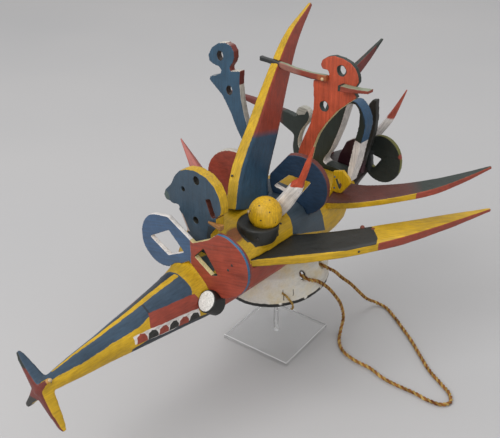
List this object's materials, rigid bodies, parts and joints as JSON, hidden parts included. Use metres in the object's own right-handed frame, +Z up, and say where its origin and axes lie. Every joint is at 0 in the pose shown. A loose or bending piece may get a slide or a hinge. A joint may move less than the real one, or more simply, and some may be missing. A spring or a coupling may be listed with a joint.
{
  "type": "carved water-spirit mask",
  "caption": "Painted wooden mask worn flat on the head: long-snouted head with a tail fin, sabre horns, pierced discs, figure boards and a bowl cap with a rope, on a clear stand",
  "frame": {"origin": "centre of the underside of the clear stand's plate, where the stand rests", "axes": "the snout points along -Y, +X is the side with the rope and the two long side horns, +Z is up"},
  "size_m": [0.64, 0.915, 0.6101],
  "materials": {
    "yellow_paint": "brushed paint on carved wood, worn at the edges",
    "blue_paint": "brushed paint on carved wood, worn at the edges",
    "red_paint": "brushed paint on carved wood, worn at the edges",
    "orange_paint": "brushed paint on carved wood, worn at the edges",
    "black_paint": "brushed paint on carved wood, dull",
    "white_paint": "chalky white paint on carved wood",
    "maroon_paint": "brushed dark paint on carved wood",
    "fibre": "twisted plant fibre, dry and hairy",
    "clear_plastic": "clear cast sheet and rod, polished"
  },
  "bodies": {
    "root": {"carved_body": "yellow_paint", "wearing_cap": "white_paint", "near_eye": "white_paint", "far_eye": "white_paint", "front_double_disc": "red_paint", "crest_board": "blue_paint", "blue_figure_board": "blue_paint", "orange_figure_board": "orange_paint", "cross_bar": "red_paint", "bar_peg": "red_paint", "near_disc": "blue_paint", "far_disc": "red_paint", "back_disc": "black_paint", "arch_board": "black_paint", "upright_blade": "maroon_paint", "slotted_lug": "yellow_paint", "tall_horn": "red_paint", "near_front_horn": "yellow_paint", "near_back_horn": "maroon_paint", "far_back_horn": "red_paint", "far_side_horn": "maroon_paint", "near_spike": "white_paint", "far_spike": "red_paint", "back_spike": "white_paint", "yellow_ball": "yellow_paint", "rope": "fibre", "stand_plate": "clear_plastic", "stand_rod": "clear_plastic"}
  },
  "joints": []
}
